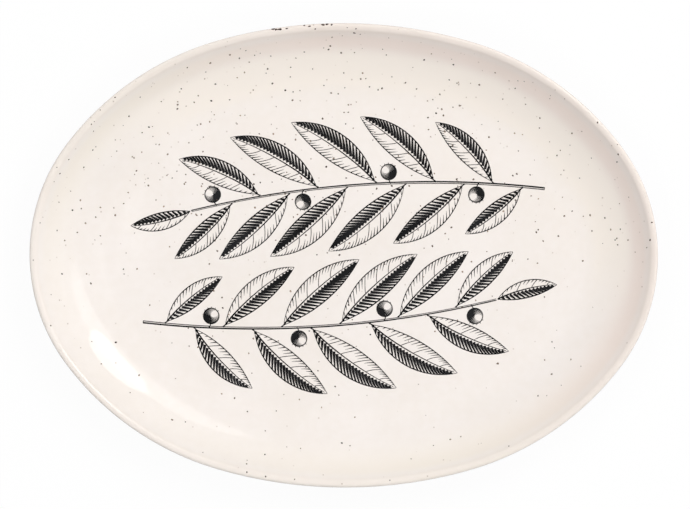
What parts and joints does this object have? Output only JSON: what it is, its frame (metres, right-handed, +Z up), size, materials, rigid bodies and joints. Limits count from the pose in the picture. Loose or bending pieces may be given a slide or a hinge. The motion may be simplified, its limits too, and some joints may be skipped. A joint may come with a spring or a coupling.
{
  "type": "oval serving platter",
  "caption": "Oval coupe serving platter in speckled cream-glazed stoneware, with a rounded rim, a curved wall, a flat well with printed leafy sprigs and a bare foot ring to stand on.",
  "frame": {"origin": "on the surface that the foot ring stands on, under the middle of the oval", "axes": "+X along the platter's length, +Y across its width, +Z up"},
  "size_m": [0.318, 0.235, 0.027],
  "materials": {
    "bare_stoneware": "bare fired buff stoneware, fine sandy grain with iron specks",
    "cream_glaze": "glossy cream glaze with scattered brown iron specks",
    "print_ink": "black ceramic ink fired into the glaze"
  },
  "bodies": {
    "root": {"stoneware_body": "bare_stoneware", "face_glaze": "cream_glaze", "base_glaze": "cream_glaze", "upper_sprig_print": "print_ink", "lower_sprig_print": "print_ink"}
  },
  "joints": []
}
